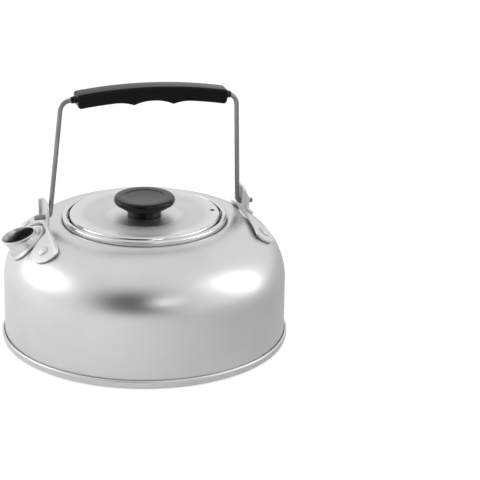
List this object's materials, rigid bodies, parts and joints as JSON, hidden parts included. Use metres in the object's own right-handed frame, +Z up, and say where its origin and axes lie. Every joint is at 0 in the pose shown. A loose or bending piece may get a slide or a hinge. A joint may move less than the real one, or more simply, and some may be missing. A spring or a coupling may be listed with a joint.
{
  "type": "camping kettle",
  "caption": "Squat round aluminium kettle with a short flared spout, a folding wire bail with a moulded grip, a recessed lid with a knob and a perforated infuser basket in the mouth",
  "frame": {"origin": "Middle of the flat base, on the surface that the kettle stands on.", "axes": "+Z is up along the kettle's axis. The spout points along -X and the bail turns about a line along X, so +Y is the far side when the spout is on the left."},
  "size_m": [0.1528, 0.152, 0.1382],
  "materials": {
    "satin_aluminium": "satin, hard anodised, with a fine turned grain",
    "bright_aluminium": "bright turned",
    "stamped_aluminium": "matt, tumbled after stamping",
    "bail_steel": "drawn stainless wire",
    "plated_steel": "zinc plated",
    "brass": "machined",
    "black_plastic": "heat resistant moulding with a fine grain"
  },
  "bodies": {
    "kettle": {"body_shell": "satin_aluminium", "base_pan": "satin_aluminium", "mouth_ring": "bright_aluminium", "spout": "satin_aluminium", "spout_bracket": "stamped_aluminium", "rear_bracket": "stamped_aluminium", "rivet_spout_near": "stamped_aluminium", "rivet_spout_far": "stamped_aluminium", "rivet_rear_near": "stamped_aluminium", "rivet_rear_far": "stamped_aluminium"},
    "basket": {"infuser_basket": "satin_aluminium"},
    "lid": {"lid": "bright_aluminium", "knob": "black_plastic", "knob_insert": "brass", "knob_washer": "plated_steel", "knob_screw": "plated_steel"},
    "bail": {"bail_wire": "bail_steel", "grip_sleeve": "black_plastic", "grip": "black_plastic"}
  },
  "joints": [
    {"name": "basket_lift", "type": "slide", "parent": "kettle", "child": "basket", "axis": [0, 0, 1], "range_m": [0, 0.042]},
    {"name": "lid_lift", "type": "slide", "parent": "basket", "child": "lid", "axis": [0, 0, 1], "range_m": [0, 0.045]},
    {"name": "handle_fold", "type": "hinge", "parent": "kettle", "child": "bail", "pos_m": [0, 0, 0.07012], "axis": [1, 0, 0], "range_deg": [-93, 93]}
  ]
}
